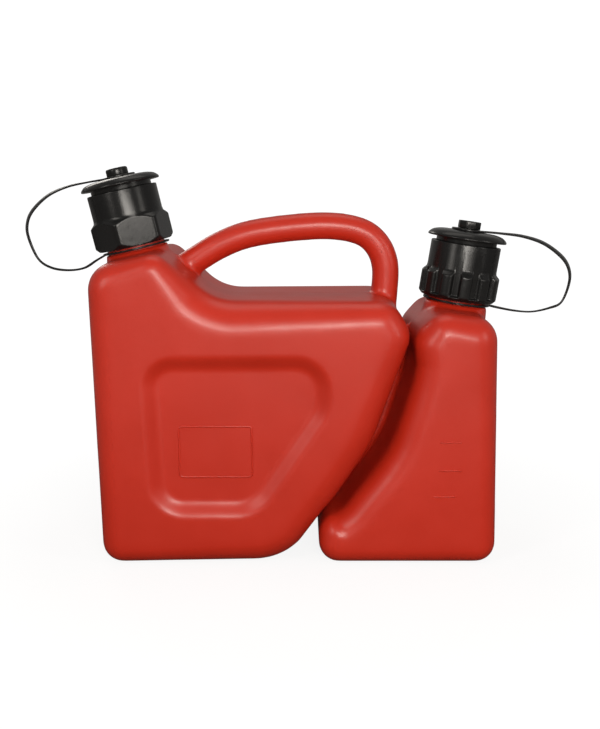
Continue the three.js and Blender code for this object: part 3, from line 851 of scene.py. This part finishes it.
class OBJECT_OT_can_stoppers(bpy.types.Operator):
    """Model the push-in stoppers with their umbrella discs and knobs"""

    bl_idname = "object.can_stoppers"
    bl_label = "Stoppers"

    def execute(self, context):
        c = context.scene.can_closures
        top = c.disc_top
        for kind in ("fuel", "oil"):
            bm = bmesh.new()
            profile = [
                (0.0, 0.0256, 0), (0.0146, 0.0256), (0.0162, PLUG_BASE), (0.0174, PLUG_BASE),
                (PLUG_RADIUS, PLUG_BASE + 0.001), (PLUG_RADIUS, GROOVE_LOW),
                (GROOVE_RADIUS, GROOVE_LOW), (GROOVE_RADIUS, GROOVE_HIGH),
                (PLUG_RADIUS, GROOVE_HIGH), (PLUG_RADIUS, LEDGE_TOP),
                (0.0201, LEDGE_TOP + 0.0006), (CONE_RADIUS, 0.0426, 0.001),
                (CONE_RADIUS, c.disc_base + 0.0022, 0.0012),
                (c.disc_radius - 0.0022, c.disc_base, 0.0006),
                (c.disc_radius - 0.0004, c.disc_base - 0.0001, 0.0004),
                (c.disc_radius, c.disc_base + 0.0006, 0.0005),
                (c.disc_radius - 0.0004, c.disc_base + 0.0018, 0.0008),
                (c.disc_radius - 0.0030, top - 0.0016, 0.0018),
                (c.disc_radius - 0.0085, top, 0.0030),
                (0.0066, top, 0.0004),
            ]
            if kind == "fuel":
                profile += [
                    (0.0066, top + 0.0020), (c.knob_radius, top + 0.0020, 0.0004),
                    (c.knob_radius, top + c.knob_height - 0.0003, 0.0016),
                    (0.0, top + c.knob_height, 0),
                ]
            else:
                profile += [(0.0066, top + 0.0040), (0.0, top + 0.0040, 0)]
            spun(bm, rounded_profile(profile, 0.0004), TURN)
            if kind == "oil":
                before = set(bm.verts)
                bmesh.ops.create_cube(bm, size=1.0)
                fresh = [v for v in bm.verts if v not in before]
                tall = c.knob_height - 0.0020
                bmesh.ops.transform(bm, verts=fresh, matrix=(
                    Matrix.Translation((0, 0, top + 0.0020 + tall / 2))
                    @ Matrix.Rotation(math.radians(45), 4, "Z")
                    @ Matrix.Diagonal((2 * c.knob_radius, 2 * c.knob_radius, tall, 1))
                ))
                upright = [
                    e for e in bm.edges if e.verts[0] in fresh and e.verts[1] in fresh
                    and abs(e.verts[0].co.z - e.verts[1].co.z) > 0.001
                ]
                bmesh.ops.bevel(
                    bm, geom=upright, affect="EDGES", offset=c.knob_radius * 0.6, segments=1,
                    profile=0.5, material=-1,
                )
                block = [v for v in bm.verts if v not in before]
                rims = [e for e in bm.edges if e.verts[0] in block and e.verts[1] in block]
                bmesh.ops.bevel(
                    bm, geom=rims, affect="EDGES", offset=0.0007, segments=3, profile=0.5,
                    material=-1,
                )
            bm.transform(closure_matrix(kind))
            stopper = new_piece(
                kind + "_push_stopper", bm, black_finish(), kind + "_stopper_body"
            )
            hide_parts(kind + "_stopper")
        return {"FINISHED"}


class OBJECT_OT_can_straps(bpy.types.Operator):
    """Model the retaining straps, each in two halves that part at the loop's far side"""

    bl_idname = "object.can_straps"
    bl_label = "Retaining straps"

    def execute(self, context):
        c = context.scene.can_closures
        thick = c.strap_thickness
        half_thick = thick / 2
        eyelet = c.disc_top + 0.0003
        ring_base = -0.0014 - thick
        black = finish("strap_black", moulded_black, tuple(c.black), "strap_black", 0.34)
        for kind, outward, reach, sag in (("fuel", -1, 0.080, 0.008), ("oil", 1, 0.0855, 0.003)):
            top = eyelet + thick
            route = smooth_path([
                (c.knob_radius + 0.0006, eyelet + half_thick), (0.3 * reach, top + 0.0002),
                (0.5 * reach, top + 0.0004), (0.7 * reach, top - 0.0026),
                (0.88 * reach, top - 0.0105), (0.97 * reach, top - 0.019), (reach, top - 0.030),
                (0.965 * reach, 0.0096 - 0.4 * sag), (0.865 * reach, 0.0054 - sag),
                (0.71 * reach, 0.0005 - sag), (0.55 * reach, -0.0006 - sag),
                (0.0331, -0.4 * sag - 0.0018), (0.0239, ring_base + half_thick),
            ], 121)
            split = max(range(len(route)), key=lambda i: route[i][0])
            for half, path in (("upper", route[: split + 1]), ("lower", route[split:])):
                bm = bmesh.new()
                rings = []
                start = 0 if half == "upper" else split
                for i, (a, h) in enumerate(path):
                    nxt, last = path[min(i + 1, len(path) - 1)], path[max(i - 1, 0)]
                    along = (nxt - last).normalized()
                    n = Vector((-along.y, along.x)) * half_thick
                    w = c.strap_width / 2
                    twist = c.strap_twist * math.sin(math.pi * (start + i) / (len(route) - 1)) ** 2
                    loop = []
                    for side, across in ((1, -0.88), (1, 0.88), (0.45, 1.0), (-0.45, 1.0),
                                         (-1, 0.88), (-1, -0.88), (-0.45, -1.0), (0.45, -1.0)):
                        over = side * math.cos(twist) + across * w / half_thick * math.sin(twist)
                        wide = w * across * math.cos(twist) - side * half_thick * math.sin(twist)
                        loop.append((outward * (a + n.x * over), wide, h + n.y * over))
                    rings.append(ring(bm, loop))
                for lower, upper in zip(rings, rings[1:]):
                    bmesh.ops.bridge_loops(bm, edges=lower + upper)
                for end in (rings[0], rings[-1]):
                    bmesh.ops.contextual_create(bm, geom=end)
                if half == "upper":
                    inner, outer, base = c.knob_radius - 0.0014, c.knob_radius + 0.0046, eyelet
                else:
                    inner, outer, base = c.neck_radius + 0.0004, c.neck_radius + 0.0036, ring_base
                spun_part = rounded_profile([
                    (inner, base), (outer, base), (outer, base + thick), (inner, base + thick),
                ], 0.0004)
                spun(bm, spun_part, COARSE_TURN)
                bm.transform(closure_matrix(kind))
                name = f"{kind}_retaining_strap_{half}"
                strap = new_piece(name, bm, black, None)
                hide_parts(kind + "_strap")
                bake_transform(strap)
        return {"FINISHED"}


class OBJECT_OT_can_seals(bpy.types.Operator):
    """Finish the gaskets and the stoppers' seal rings"""

    bl_idname = "object.can_seals"
    bl_label = "Gaskets and seals"

    def execute(self, context):
        rubber = finish("sealing_rubber", sealing_rubber)
        for kind in ("fuel", "oil"):
            for part in ("_cap_gasket", "_stopper_seal"):
                mesh = frame["nodes"][kind + part].data
                mesh.materials.clear()
                mesh.materials.append(rubber)
        return {"FINISHED"}


# The stage


def area_light(name, place, aim, width, height, power):
    """A soft rectangular lamp that points at aim."""
    lamp = bpy.data.lights.new(name, "AREA")
    lamp.shape = "RECTANGLE"
    lamp.size, lamp.size_y = width, height
    lamp.energy = power
    lamp.color = LAMP_WARMTH
    lit = bpy.data.objects.new(name, lamp)
    bpy.context.scene.collection.objects.link(lit)
    lit.location = place
    lit.rotation_euler = (Vector(aim) - Vector(place)).to_track_quat("-Z", "Y").to_euler()


class OBJECT_OT_can_stage(bpy.types.Operator):
    """Set the floor, the light and the camera"""

    bl_idname = "object.can_stage"
    bl_label = "Stage"

    def execute(self, context):
        s = context.scene.can_stage
        scene = context.scene
        scene.view_settings.view_transform = "Standard"

        eye = bpy.data.cameras.new("camera")
        eye.lens = s.lens
        eye.sensor_width = 36
        eye.clip_start = 0.01
        camera = bpy.data.objects.new("camera", eye)
        scene.collection.objects.link(camera)
        camera.location = (oil_middle(scene.can_body), -s.distance, s.eye_height)
        camera.rotation_euler = (math.pi / 2 - s.pitch, 0, 0)
        scene.camera = camera

        bm = bmesh.new()
        bmesh.ops.create_grid(bm, x_segments=1, y_segments=1, size=6.0)
        mesh = bpy.data.meshes.new("floor")
        bm.to_mesh(mesh)
        bm.free()
        floor = bpy.data.objects.new("floor", mesh)
        scene.collection.objects.link(floor)
        floor.location.z = -0.0004
        paper = bpy.data.materials.new("pale_floor")
        paper.use_nodes = True
        nodes = paper.node_tree
        plain = nodes.nodes["Principled BSDF"]
        plain.inputs["Roughness"].default_value = 0.8
        place = Sock(nodes, nodes.nodes.new("ShaderNodeTexCoord").outputs["Object"])
        away = place.out("ShaderNodeVectorMath", {"operation": "LENGTH"}, 1, Vector=place)
        # painted shade on the floor close to the can, paler further off; only rays that are not the
        # camera's see this colour
        pale = ((away - 0.25) / 0.6).clamped().mix(FLOOR_NEAR_SHADE, FLOOR_FAR)
        nodes.links.new(pale.socket, plain.inputs["Base Color"])
        direct = Sock(nodes, nodes.nodes.new("ShaderNodeLightPath").outputs["Is Camera Ray"])
        matt = direct.out("ShaderNodeBsdfDiffuse", None, 0, Color=(0.9, 0.9, 0.9, 1))
        glow = direct.out("ShaderNodeEmission", None, 0, Color=(1, 1, 1, 1), Strength=FLOOR_GLOW)
        clear = ((away - 0.2) / 0.3).clamped() * 0.18 + 0.82
        lit = direct.out("ShaderNodeMixShader", None, 0, _0=clear, _1=matt, _2=glow)
        ground = direct.out(
            "ShaderNodeMixShader", None, 0, _0=direct, _1=Sock(nodes, plain.outputs[0]), _2=lit
        )
        nodes.links.new(ground.socket, nodes.nodes["Material Output"].inputs["Surface"])
        mesh.materials.append(paper)

        world = bpy.data.worlds.new("studio")
        world.use_nodes = True
        scene.world = world
        tree = world.node_tree
        tree.nodes.clear()
        path = tree.nodes.new("ShaderNodeLightPath")
        seen = Sock(tree, path.outputs["Is Camera Ray"])
        through = Sock(tree, path.outputs["Is Transmission Ray"])
        shine = Sock(tree, path.outputs["Is Glossy Ray"])
        room = seen.out(
            "ShaderNodeBackground", None, 0, Color=ROOM_COLOUR,
            Strength=ROOM_LIGHT + shine * ROOM_SHINE,
        )
        white = seen.out("ShaderNodeBackground", None, 0, Color=(1, 1, 1, 1), Strength=BACKDROP)
        shown = seen.out(
            "ShaderNodeMixShader", None, 0, _0=(seen + through).clamped(), _1=room, _2=white
        )
        end = tree.nodes.new("ShaderNodeOutputWorld")
        tree.links.new(shown.socket, end.inputs["Surface"])

        for lamp in LAMPS:
            area_light(*lamp)
        return {"FINISHED"}


STEPS = (
    OBJECT_OT_can_body, OBJECT_OT_can_necks, OBJECT_OT_can_marks, OBJECT_OT_can_caps,
    OBJECT_OT_can_stoppers, OBJECT_OT_can_straps, OBJECT_OT_can_seals, OBJECT_OT_can_stage,
)


class VIEW3D_PT_can(bpy.types.Panel):
    """The can's steps and sizes"""

    bl_label = "Combination can"
    bl_idname = "VIEW3D_PT_can"
    bl_space_type = "VIEW_3D"
    bl_region_type = "UI"
    bl_category = "Can"

    def draw(self, context):
        for step in STEPS:
            self.layout.operator(step.bl_idname)
        for group in (context.scene.can_body, context.scene.can_closures, context.scene.can_stage):
            column = self.layout.column(align=True)
            for key in group.__annotations__:
                column.prop(group, key)


CLASSES = (CanBodySettings, CanClosureSettings, CanStageSettings, *STEPS, VIEW3D_PT_can)


def register():
    for cls in CLASSES:
        bpy.utils.register_class(cls)
    bpy.types.Scene.can_body = PointerProperty(type=CanBodySettings)
    bpy.types.Scene.can_closures = PointerProperty(type=CanClosureSettings)
    bpy.types.Scene.can_stage = PointerProperty(type=CanStageSettings)


def unregister():
    del bpy.types.Scene.can_body
    del bpy.types.Scene.can_closures
    del bpy.types.Scene.can_stage
    for cls in reversed(CLASSES):
        bpy.utils.unregister_class(cls)


def main():
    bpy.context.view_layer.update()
    register()
    for step in STEPS:
        group, name = step.bl_idname.split(".")
        getattr(getattr(bpy.ops, group), name)()


if __name__ == "__main__":
    main()
